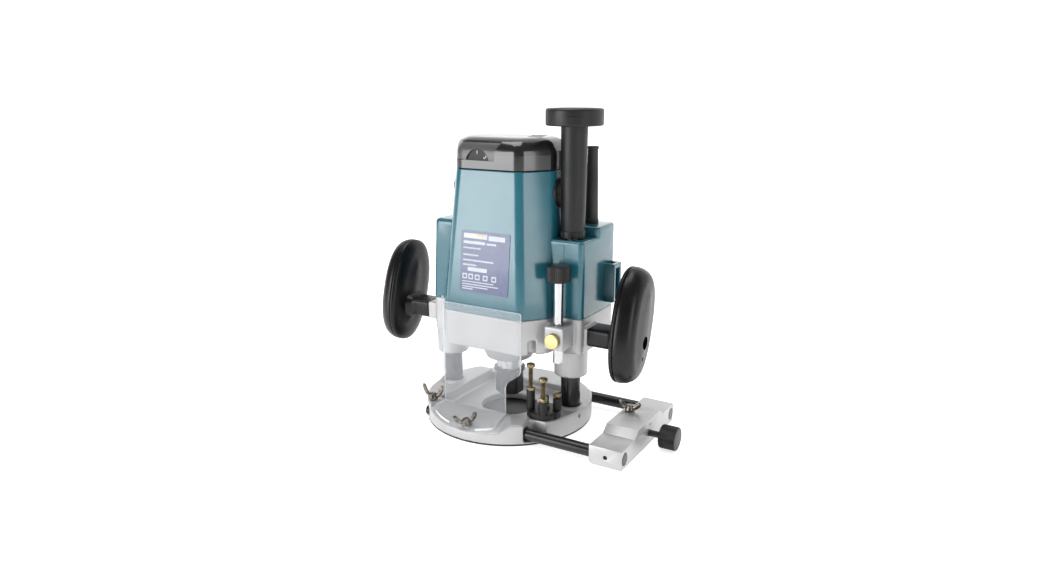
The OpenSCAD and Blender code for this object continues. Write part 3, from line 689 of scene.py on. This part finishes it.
def top_fittings():
    place(merge("brush_caps", brush_cap(1), brush_cap(-1)), "motor", None, ["brush_caps"])
    guard = turned("cord_guard", [(3.4, 187.6), (6.55, 187.6), (6.5, 190.5), (6.0, 192), (4.7, 254.4),
                                  (5.35, 254.8),
                                  (5.35, 256.9), (3.4, 256.9), (3.2, 250)],
                   [0, 0.8, 0.8, 0.8, 0.3, 0.4, 0.5, 0.5, 0], (67, 36, 0), (0, 0, 1))
    place(guard, "motor", rubber, ["cord_guard"])


housing()
cover()
dial()
label()
top_fittings()


# ---------------------------------------------------------------- castings

COLUMN_X, ROD_Y, ROD_Z = 66.5, 54, 8.6
SLOPE = 0.33                  # fall of the rim's face under the shield


def bracket():
    deck_at = soft([(40, -48), (58, -26), (58, 26), (38, 48), (-38, 48), (-58, 26), (-58, -26),
                    (-40, -48)], 9)
    obj = block("bracket", deck_at, 77, 109.8, 0, 0)
    add(obj, block("right", soft(rectangle(40, 85, -17, 50), 5), 77, 109.8),
        block("left", soft(rectangle(-77, -40, -17, 44), 5), 77, 109.8))
    # column bosses, spindle nose, grip stubs, pole lug
    for side in (-1, 1):
        x = side * COLUMN_X
        add(obj, turned("boss", [(2, 52), (15.5, 52), (15.5, 100), (2, 100)], [0, 1.5, 0, 0], (x, 0, 0)),
            cuboid("stub", (min(side * 70, side * 88), -11.5, 84.5),
                   (max(side * 70, side * 88), 11.5, 101.5)))
    add(obj, turned("nose", [(2, 58), (22, 58), (31, 78), (2, 78)], [0, 1.5, 0, 0], (0, 0, 0)),
        cuboid("lug", (58.5, -37.5, 85), (77, -10, 106), 1.5),
        bar("pin_boss", (0, 10, 63.5), (0, 36, 63.5), 6),
        bar("lever_pivot", (-66.5, 10, 63), (-66.5, 30.2, 63), 4))
    for side in (-1, 1):
        x = side * COLUMN_X
        cut(obj, bar("bore", (x, 0, 45), (x, 0, 120), 9.6))
    cut(obj, bar("shaft", (0, 0, 50), (0, 0, 72), 13.6), bar("bearing", (0, 0, 68), (0, 0, 90), 23.5))
    for turn in np.radians((116, 206)):
        bolt = (56 + 12 * math.cos(turn), -31.8 + 12 * math.sin(turn))
        cut(obj, bar("pocket", (*bolt, 70), (*bolt, 90.3), 4.4))
    cut(obj, bar("pole_bore", (67.9, -28.2, 80), (67.9, -28.2, 110), 4.55))
    # split line and clamp slot of the lug
    cut(obj, cuboid("lug_slot", (77.4, -17.5, 84), (78.2, -15.5, 108)))
    cast(obj, 0.95, 3)
    place(obj, "motor", alloy, ["motor_bracket"])


def base():
    disc = turned("base", [(1, 1.5), (80, 1.5), (80, 20), (1, 20)], [0, 0.6, 1.4, 0], segments=160)
    # pocket between the front and back segments, clear of the column feet
    pocket = lathe("pocket", [(0.5, 8), (73, 8), (73, 30), (0.5, 30)], segments=120)
    keep = [cuboid("front", (-90, -90, 0), (90, -46, 40)), cuboid("back", (-90, 46, 0), (90, 90, 40)),
            cuboid("foot_r", (50, -47, 0), (90, 47, 40)), cuboid("foot_l", (-90, -47, 0), (-50, 47, 40)),
            bar("pad", (56, -31.8, 0), (56, -31.8, 40), 15)]
    cut(pocket, *keep)
    cut(disc, pocket, bar("opening", (0, 0, -2), (0, 0, 30), 27, 96),
        cuboid("low_back", (-90, 46, 16.5), (90, 90, 40)))
    for side in (-1, 1):
        x = side * COLUMN_X
        boss = turned("boss", [(2, 10), (13.3, 10), (13.3, 22), (2, 22)], [0, 0, 1.2, 0], (x, 0, 0))
        limit = bar("limit", (0, 0, 0), (0, 0, 40), 80, 160)
        combine(boss, limit, "INTERSECT")
        add(disc, boss)
        cut(disc, bar("bore", (x, 0, 4), (x, 0, 40), 9.3))
    for y in (-ROD_Y, ROD_Y):
        cut(disc, bar("rod_bore", (-90, y, ROD_Z), (90, y, ROD_Z), 5.8))
    # scooped mouth of the front rod
    mouth = block("mouth", soft(rectangle(50, 95, -62.5, -45.5), 5), 3, 30)
    cut(disc, mouth)
    # sloped face that the shield is bolted to
    section = [np.array([(x, -90, 20.01 - drop), (x, -50, 20.01), (x, -50, 40), (x, -90, 40)])
               for x, drop in ((-51, 0), (-47, 40 * SLOPE), (30, 40 * SLOPE), (42, 0))]
    cut(disc, loft("slope", section))
    cast(disc, 0.95, 3)
    cut(disc, bar("side_hole", (70, -7, 15), (90, -7, 15), 2.2))
    place(disc, "base", alloy, ["base_casting"])
    sole = turned("sub_base", [(27, 0.05), (79.6, 0.05), (79.6, 1.5), (27, 1.5), (26.9, 0.8)],
                  [0, 0.4, 0, 0, 0],
                  segments=160)
    place(sole, "base", laminate, ["sub_base"])


bracket()
base()

# ---------------------------------------------------------------- grips

GRIP = Matrix.Translation((121, 0, 107.3)) @ Matrix.Rotation(math.radians(-16), 4, "X")
OUTER, INNER = 17.5, 8.0
NECK = np.linspace(0, 2 * math.pi, 36, endpoint=False)


def oval(inset):
    """Outline of a grip in its own Y and Z."""
    angles = np.linspace(0, 2 * math.pi, 96, endpoint=False)
    c, s = np.cos(angles), np.sin(angles)
    return np.stack([(28.7 - inset) * np.sign(c) * np.abs(c) ** 0.86,
                     (51.4 - inset) * np.sign(s) * np.abs(s) ** 0.86], 1)


def half_grip(name, side, depth):
    """One domed half of a grip; side 1 is the outer half."""
    rings = []
    for x, inset in ((0.1, 1.0), (0.35, 0.45), (0.8, 0.1), (1.2, 0.0)):
        ring = oval(inset)
        rings.append(np.column_stack([np.full(len(ring), side * x), ring]))
    reach = 13.0 if side > 0 else 17.0
    for k in range(1, 15):
        t = k / 14 * math.pi / 2
        ring = oval(reach * (1 - math.cos(t)))
        rings.append(np.column_stack([np.full(len(ring), side * (1.2 + (depth - 2.2) * math.sin(t))),
                                      ring]))
    for more, drop in ((4.5, 0.62), (9.0, 0.25), (11.5, 0.0)):
        ring = oval(reach + more * (1 if side > 0 else 0.8))
        rings.append(np.column_stack([np.full(len(ring), side * (depth - drop)), ring]))
    if side < 0:
        rings = rings[::-1]
    return moved(loft(name, rings), GRIP)


def grip(label_side):
    """Both halves of a grip and its arm, built on the right and mirrored for the left."""
    outer = half_grip("grip_outer", 1, OUTER)
    inner = half_grip("grip_inner", -1, INNER)
    arm = block("arm", soft([(z, y) for z, y in rectangle(84.6, 101.4, -11.9, 11.9)], 3.2), 88.05, 117,
                1.0, 0)
    swap = Matrix(((0, 0, 1, 0), (0, 1, 0, 0), (1, 0, 0, 0), (0, 0, 0, 1)))
    moved(arm, swap)
    arm.data.flip_normals()
    neck = loft("neck", [np.column_stack([np.full(36, x), *(half * np.sign(w) * np.abs(w) ** power + mid
                for half, mid, w in ((dy, 0, np.cos(NECK)), (dz, 93, np.sin(NECK))))])
                for x, dy, dz, power in ((103.5, 11.9, 8.4, 0.35), (107, 12.2, 8.7, 0.4),
                                         (110, 13.2, 9.8, 0.5),
                                         (112.4, 15, 11.4, 0.6), (114, 16, 12.4, 0.7))])
    add(inner, arm, neck)
    cut(outer, bar("recess", (129, 0, 93), (150, 0, 93), 6), bar("screw_slot", (134, -4.5, 80.5),
                                                                 (150, -4.5, 80.5), 1.5),
        bar("screw_slot", (134, -4.5, 79), (150, -4.5, 79), 1.5))
    if label_side > 0:
        slot, other = [moved(cuboid("slot", (-4.2, 17.4, -12), (9.2, 35, 34)), GRIP) for _ in range(2)]
        cut(outer, slot)
        cut(inner, other, moved(bar("button", (-30, 2, 31), (1, 2, 31), 4.9), GRIP))
    for piece in (outer, inner):
        if label_side < 0:
            piece.data.transform(Matrix.Scale(-1, 4, (1, 0, 0)))
            piece.data.flip_normals()
    word = "right" if label_side > 0 else "left"
    outer.name, inner.name = word + "_grip_outer", word + "_grip_inner"
    place(outer, "motor", grip_black, [word + "_grip_outer"], sharp=40)
    place(inner, "motor", grip_black, [word + "_grip_inner"], sharp=40)


grip(1)
grip(-1)


def trigger():
    outline = fillet([(21.3, -5.9), (27.7, -9.3), (31.1, -2), (30.1, 16), (27.1, 30.9), (21.3, 30.9)],
                     2.0, 5)
    obj = block("trigger", outline, -3.45, 8.45, 1.0, 1.0)
    swap = Matrix(((0, 0, 1, 0), (1, 0, 0, 0), (0, 1, 0, 0), (0, 0, 0, 1)))
    place(moved(moved(obj, swap), GRIP), "trigger", knob_black, ["trigger"])
    button = turned("lock_on_button", [(0.5, -12), (4.45, -12), (4.45, -3.5), (0.5, -3.5)],
                    [0, 1.4, 0.3, 0],
                    ORIGIN, (1, 0, 0))
    moved(button, GRIP @ Matrix.Translation((0, 2, 31)))
    place(button, "lock_button", knob_black, ["lock_on_button"])


trigger()

# ---------------------------------------------------------------- columns, stop screw and depth pole


def knurled(name, profile, radius, centre, axis, teeth=36, depth=0.45, smooth=0):
    """A turned knob whose rim is ribbed along its axis."""
    count = teeth * 6
    basis = axis_frame(axis)
    angles = np.linspace(0, 2 * math.pi, count, endpoint=False)
    wave = 0.5 + 0.5 * np.cos(angles * teeth)
    rings = []
    for r, h in profile:
        share = max(0.0, min(1.0, (r - radius + 1.2) / 1.2))
        rr = r - depth * share * wave
        rings.append(np.stack([rr * np.cos(angles), rr * np.sin(angles), np.full(count, h)], 1) @ basis.T
                     + np.asarray(centre, float))
    return loft(name, rings)


def rounded_profile(radius, h0, h1, edge, inner=0.5, steps=5):
    return fillet([(inner, h0), (radius, h0), (radius, h1), (inner, h1)], [0, edge, edge, 0], steps,
                  closed=False)


def columns():
    for side, name in ((-1, "left_column"), (1, "right_column")):
        obj = turned(name, [(1, 4), (9, 4), (9, 122), (1, 122)], [0, 0, 1, 0], (side * COLUMN_X, 0, 0),
                     segments=96)
        place(obj, "base", oxide, [name])


def stop_screw():
    x = COLUMN_X
    collar = turned("collar", [(5.1, 179.4), (11.2, 179.4), (11.2, 185.8), (10.2, 186.2)],
                    [0, 0.5, 0.5, 0], (x, 0, 0))
    for i in range(16):
        turn = math.radians(22.5 * i + 8)
        low = np.array([x + 11.4 * math.cos(turn), 11.4 * math.sin(turn), 180.2])
        groove = bar("groove", low, low + np.array([0, 0, 5.0]), 0.75, 10)
        cut(collar, groove)
    cut(collar, moved(cuboid("notch", (9.5, -1.6, 180.4), (12.5, 1.6, 184.6)),
                      Matrix.Translation((x, 0, 0)) @ Matrix.Rotation(math.radians(-66), 4, "Z")))
    tube = turned("tube", [(5.1, 185.4), (10.6, 185.4), (10.75, 200), (11.7, 276.8), (5.1, 276.8)],
                  [0, 0.3, 0, 0, 0], (x, 0, 0), segments=96)
    place(merge("stop_sleeve", collar, tube), "stop_screw", knob_black, ["stop_sleeve"])
    knob = turned("stop_knob", [(2, 276.5), (25, 276.5), (25, 291), (22, 291), (20.5, 290.1), (2, 290.1)],
                  [0, 1.4, 2.0, 0.6, 0.6, 0], (x, 0, 0), segments=128, steps=6)
    mark = moved(cuboid("mark", (24.2, -6, 284.6), (25.6, 6, 285.2)),
                 Matrix.Translation((x, 0, 0)) @ Matrix.Rotation(math.radians(-62), 4, "Z"))
    cut(knob, mark)
    place(knob, "stop_screw", knob_black, ["stop_knob"])


def depth_pole():
    x, y = 67.9, -28.2
    pole = turned("depth_pole", [(1, 71), (4.5, 71), (4.5, 150), (1, 150)], [0, 0.8, 0, 0], (x, y, 0),
                  segments=72)
    place(pole, "pole", chrome, ["depth_pole"])
    profile = rounded_profile(10.4, 145.5, 159.5, 1.0, 2.0)
    knob = knurled("depth_pole_knob", profile, 10.4, (x, y, 0), (0, 0, 1), 40, 0.4)
    place(knob, "pole_knob", knob_black, ["depth_pole_knob"])
    head = knurled("pole_thumb_screw", rounded_profile(6.75, 0, 3.6, 0.6, 0.6), 6.75, (x, -37.9, 94),
                   (0, -1, 0), 44, 0.25)
    shank = bar("shank", (x, -38.2, 94), (x, -33, 94), 2.4)
    place(merge("pole_thumb_screw", head, shank), "pole_screw", brass, ["pole_thumb_screw"])


# ---------------------------------------------------------------- threads, turret and wing bolts

def threaded(name, x, y, z0, z1, radius, pitch=1.0):
    """Round bar with thread-like grooves."""
    turns = max(2, int((z1 - z0) / pitch))
    profile = [(radius * 0.4, z0)]
    for i in range(turns):
        z = z0 + (z1 - z0) * i / turns
        profile += [(radius * 0.84, z), (radius, z + (z1 - z0) / turns * 0.5)]
    profile += [(radius * 0.84, z1), (radius * 0.4, z1)]
    return lathe(name, profile, (x, y, 0), segments=24)


def hexagon(name, x, y, z0, z1, radius, turn=0.0):
    return block(name, soft(circle(radius, 6, (x, y), turn), 0.3), z0, z1, 0.3, 0.4, steps=2)


def post(i):
    turn = math.radians(26 + 90 * i)
    return 56 + 12 * math.cos(turn), -31.8 + 12 * math.sin(turn)


def turret():
    plate = turned("turret", [(3.05, 20.35), (15.5, 20.35), (15.5, 26), (3.05, 26)], [0, 0.6, 0.9, 0],
                   (56, -31.8, 0), segments=96)
    parts = [plate]
    for i, top in enumerate((37, 34, 44, 38)):
        x, y = post(i)
        parts.append(turned("post", [(2.25, 25.6), (3.9, 25.6), (3.9, top), (2.25, top)],
                            [0, 0, 0.4, 0.2], (x, y, 0),
                            segments=40))
    for i in range(4):
        turn = math.radians(26 + 45 + 90 * i)
        cut(plate, bar("dimple", (56 + 15.6 * math.cos(turn), -31.8 + 15.6 * math.sin(turn), 21),
                       (56 + 15.6 * math.cos(turn), -31.8 + 15.6 * math.sin(turn), 27), 1.6, 24))
    place(merge("turret", *parts), "turret", knob_black, ["turret"])
    screw = turned("turret_pivot_screw", [(0.5, 26.4), (5, 26.4), (5, 29), (0.5, 29)], [0, 0.2, 0.9, 0],
                   (56, -31.8, 0))
    cut(screw, cuboid("slot", (50, -32.3, 28), (62, -31.3, 30)))
    place(screw, "base", dark_steel, ["turret_pivot_screw"])
    bolts = []
    for i, post_top, top in ((0, 37, 42), (2, 44, 69), (3, 38, 60)):
        x, y = post(i)
        bolts.append(threaded("thread", x, y, post_top - 4, top - 2.4, 2.1, 0.9))
        head = turned("head", [(0.5, top - 3), (3.9, top - 3), (3.9, top), (0.5, top)], [0, 0.2, 1.0, 0],
                      (x, y, 0),
                      segments=40)
        cut(head, cuboid("slot", (x - 5, y - 0.45, top - 1.1), (x + 5, y + 0.45, top + 1)))
        bolts.append(head)
        if top - post_top > 10:
            bolts.append(hexagon("nut", x, y, post_top + 0.05, post_top + 3, 4.3, 20 * i))
    place(merge("turret_bolts", *bolts), "turret", zinc, ["turret_bolts"])


def wing_bolt(name, body, node, x, y, z, turn, depth, height, tilt=0.0):
    """A wing bolt seated at height z with two splayed, rounded wings."""
    hub = turned("hub", [(1.2, 0), (4.4, 0), (4.4, 1.2), (3.6, 3.2), (3.2, 5.5), (1.0, 5.5)],
                 [0, 0.2, 0.3, 1, 0.9, 0], ORIGIN, segments=40)
    parts = [hub, threaded("shank", 0, 0, -depth, 0.1, 2.4, 1.0)]
    for side in (-1, 1):
        path = [(2.2, 2.4), (4.6, 3.0), (6.9, 4.4 + 0.05 * height), (8.7, height * 0.70),
                (9.9, height * 0.97)]
        widths = [1.6, 2.0, 2.3, 2.3, 1.7]
        rings = []
        for k, ((px, pz), w) in enumerate(zip(path, widths)):
            before, after = path[max(k - 1, 0)], path[min(k + 1, len(path) - 1)]
            d = unit([after[0] - before[0], after[1] - before[1]])
            n = np.array([-d[1], d[0]])
            thick = [1.5, 1.25, 1.15, 1.05, 0.8][k]
            ring = []
            for a in np.linspace(0, 2 * math.pi, 16, endpoint=False):
                across, side_y = w * math.cos(a), thick * math.sin(a)
                ring.append((side * (px + n[0] * across), side_y, pz + n[1] * across))
            rings.append(np.array(ring) if side > 0 else np.array(ring[::-1]))
        wing = loft("wing", rings)
        modifier = wing.modifiers.new("round", "SUBSURF")
        modifier.levels = modifier.render_levels = 1
        parts.append(apply_modifiers(wing))
    obj = merge(name, *parts)
    moved(obj, Matrix.Translation((x, y, z)) @ Matrix.Rotation(tilt, 4, "X")
          @ Matrix.Rotation(math.radians(turn), 4, "Z"))
    place(obj, body, nickel, [node])


def wing_bolts():
    wing_bolt("holder_wing_bolt", "holder_bolt", "holder_wing_bolt", 122, 10, 23.3, 0, 9, 9.3)
    tilt = math.atan(SLOPE)
    wing_bolt("shield_wing_bolt", "shield_bolt", "shield_wing_bolt", 0, -73 - 2.2 * math.sin(tilt),
              20 - 23 * SLOPE + 2.2 * math.cos(tilt), 35, 9.5, 12, tilt)
    wing_bolt("front_rod_wing_bolt", "front_rod_bolt", "front_rod_wing_bolt", -52, -54, 21.2, 10, 6.7, 14.6)
    wing_bolt("rear_rod_wing_bolt", "rear_rod_bolt", "rear_rod_wing_bolt", 40, 54, 18, 60, 3.5, 12.6)


# ---------------------------------------------------------------- guide holder, rods and shield

def guide():
    rods = [turned("rod", [(0.5, -58), (5.4, -58), (5.4, 145.2), (0.5, 145.2)], [0, 0.8, 0.8, 0],
                   (0, y, ROD_Z), (1, 0, 0),
                   segments=64) for y in (-ROD_Y, ROD_Y)]
    place(merge("guide_rods", *rods), "guide", oxide, ["guide_rods"])
    body = front_prism("guide_holder", [(115.4, 2), (118.4, 0.05), (145.5, 0.05), (145.5, 17),
                                        (115.4, 17)], -60.3, 60.3)
    pad = loft("pad", [np.array([(x, y, z) for y, z in ((-33, 1), (33, 1), (33, 17), (25, 23), (-25, 23),
                                                        (-33, 17))])
                       for x in (115.4, 145.5)])
    add(body, pad)
    cut(body, bar("bolt", (122, 10, 12), (122, 10, 30), 2.5, 32),
        bar("fine", (127.4, 0, 10.8), (150, 0, 10.8), 3, 32),
        bar("small", (135.4, 1, 18.3), (150, 1, 18.3), 1.2, 24), bar("end", (130.45, -65, 8.6),
                                                                     (130.45, -58, 8.6), 1.9, 24))
    for y in (-ROD_Y, ROD_Y):
        cut(body, bar("rod", (110, y, ROD_Z), (150, y, ROD_Z), 5.75, 48))
    bevel(body, 0.6, 2, 40)
    place(body, "guide", milled, ["guide_holder"], sharp=30)
    profile = rounded_profile(10.5, 157, 172, 1.2, 1.0)
    knob = knurled("knob", profile, 10.5, ORIGIN, (1, 0, 0), 44, 0.45)
    screw = bar("screw", (129.4, 0, 0), (158, 0, 0), 2.9, 32)
    screw.data.materials.append(dark_steel)
    knob.data.materials.append(knob_black)
    obj = moved(merge("fine_adjust_knob", knob, screw), Matrix.Translation((0, 0, 10.8)))
    place(obj, "fine_knob", None, ["fine_adjust_knob"])


def shield():
    edge_line = fillet([(-39.8, 20), (27, 20), (27, 50), (43, 62), (43, 118), (-39.8, 118)],
                       [0, 0, 9, 9, 2, 2], 8)
    panel = front_prism("panel", edge_line, -52, -50)
    wing = moved(cuboid("wing", (-1, 0, 48), (22, 1.9, 117.4)),
                 Matrix.Translation((-39, -50, 0)) @ Matrix.Rotation(math.radians(129.3), 4, "Z"))
    tip = moved(front_prism("tip", [(0, 117), (4, 117), (0.4, 120)], 0, 1.9),
                Matrix.Translation((-39, -50, 0)) @ Matrix.Rotation(math.radians(129.3), 4, "Z"))
    arc = np.radians(np.linspace(243, 278, 14))
    rim = fillet([(-39.8, -50.1), (-46, -60), (-40, -66.5)] + list(zip(77.7 * np.cos(arc),
                                                                       77.7 * np.sin(arc)))
                 + [(26.6, -70.8), (27, -50.1)], [0, 2, 3] + [0.5] * 14 + [5, 0], 5)
    slope = 20 + SLOPE * (rim[:, 1] + 50)
    flange = loft("flange", [np.column_stack([rim, slope + up]) for up in (0.1, 2.05)])
    add(panel, wing, tip, flange)
    cut(panel, bar("hole", (0, -71.4, 7.7), (0, -75.9, 21.3), 2.9, 32))
    bevel(panel, 0.35, 2, 50)
    panel.data.materials.append(clear)
    panel.data.materials.append(painted_edge_glint)
    slant = np.array([math.cos(math.radians(129.3 + 90)), math.sin(math.radians(129.3 + 90))])
    # Faces that are not flat (bevels, rims, the bend line) get the near-white material, a painted glint along
    # the shield's edges.
    for polygon in panel.data.polygons:
        n, c = polygon.normal, polygon.center / MM
        flat = abs(n.y) > 0.97 or (c.z < 23 and abs(n.z) > 0.9) or abs(n.x * slant[0] + n.y * slant[1]) > 0.97
        polygon.material_index = 0 if flat else 1
    panel.name = "chip_shield"
    place(panel, "base", None, ["chip_shield"], sharp=40)


columns()
stop_screw()
depth_pole()
turret()
wing_bolts()
guide()
shield()
